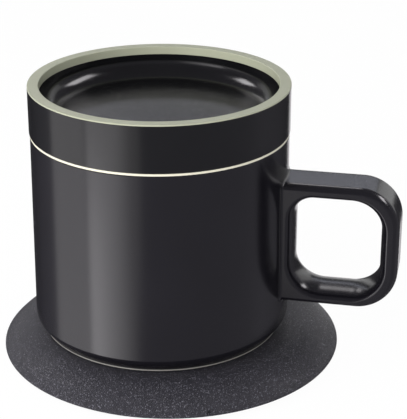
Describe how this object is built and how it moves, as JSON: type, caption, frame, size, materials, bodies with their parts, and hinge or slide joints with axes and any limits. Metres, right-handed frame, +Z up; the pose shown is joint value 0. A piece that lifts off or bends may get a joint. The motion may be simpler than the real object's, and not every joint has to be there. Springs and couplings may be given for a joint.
{
  "type": "mug warmer",
  "caption": "Wireless warming mug with a closed square handle and a dished lift-off lid, standing on a thin round charging pad.",
  "frame": {"origin": "centre of the pad's silicone foot, on the surface that the pad rests on", "axes": "+Z up; +X the way the mug's handle points"},
  "size_m": [0.1416, 0.1208, 0.0989],
  "materials": {
    "black_glaze": "gloss black glaze",
    "lid_black": "satin black moulded",
    "rim_olive": "satin olive-beige",
    "cream_silicone": "cream silicone",
    "clear_silicone": "translucent silicone",
    "dark_silicone": "dark silicone",
    "pad_black": "textured charcoal moulded",
    "pad_base": "black moulded",
    "clay_band": "pale satin foot band",
    "copper": "enamelled copper",
    "ferrite": "dark ferrite sheet",
    "board_green": "solder-masked board",
    "chip_black": "moulded chip",
    "steel": "plated steel",
    "clear_light": "clear moulded",
    "felt_white": "heat-proof felt"
  },
  "bodies": {
    "pad": {"pad_top_cover": "pad_black", "pad_bottom_cover": "pad_base", "anti_slip_foot": "dark_silicone", "pad_screws": "steel", "transmitter_coil": "copper", "pad_ferrite": "ferrite", "pad_circuit_board": "board_green", "driver_chip": "chip_black", "resonance_capacitors": "chip_black", "board_inductor": "ferrite", "pad_thermistor": "chip_black", "indicator_led": "clear_light", "indicator_light_pipe": "clear_light", "inlet_shell": "steel", "inlet_tongue": "chip_black"},
    "mug": {"mug_body": "black_glaze", "mug_handle": "black_glaze", "foot_band": "clay_band", "base_cover": "pad_base", "foot_ring": "dark_silicone", "receiver_coil": "copper", "mug_ferrite": "ferrite", "receiver_board": "board_green", "rectifier_chip": "chip_black", "heating_plate": "steel", "thermal_cutout": "chip_black", "insulation_disc": "felt_white", "heater_leads": "clear_silicone"},
    "lid": {"lid_shell": "lid_black", "lid_rim_ring": "rim_olive", "lid_seal": "cream_silicone", "lid_plug": "lid_black", "plug_gasket": "clear_silicone"}
  },
  "joints": [
    {"name": "mug_lift", "type": "slide", "parent": "pad", "child": "mug", "axis": [0, 0, 1], "range_m": [0, 0.12]},
    {"name": "lid_lift", "type": "slide", "parent": "mug", "child": "lid", "axis": [0, 0, 1], "range_m": [0, 0.08]}
  ]
}
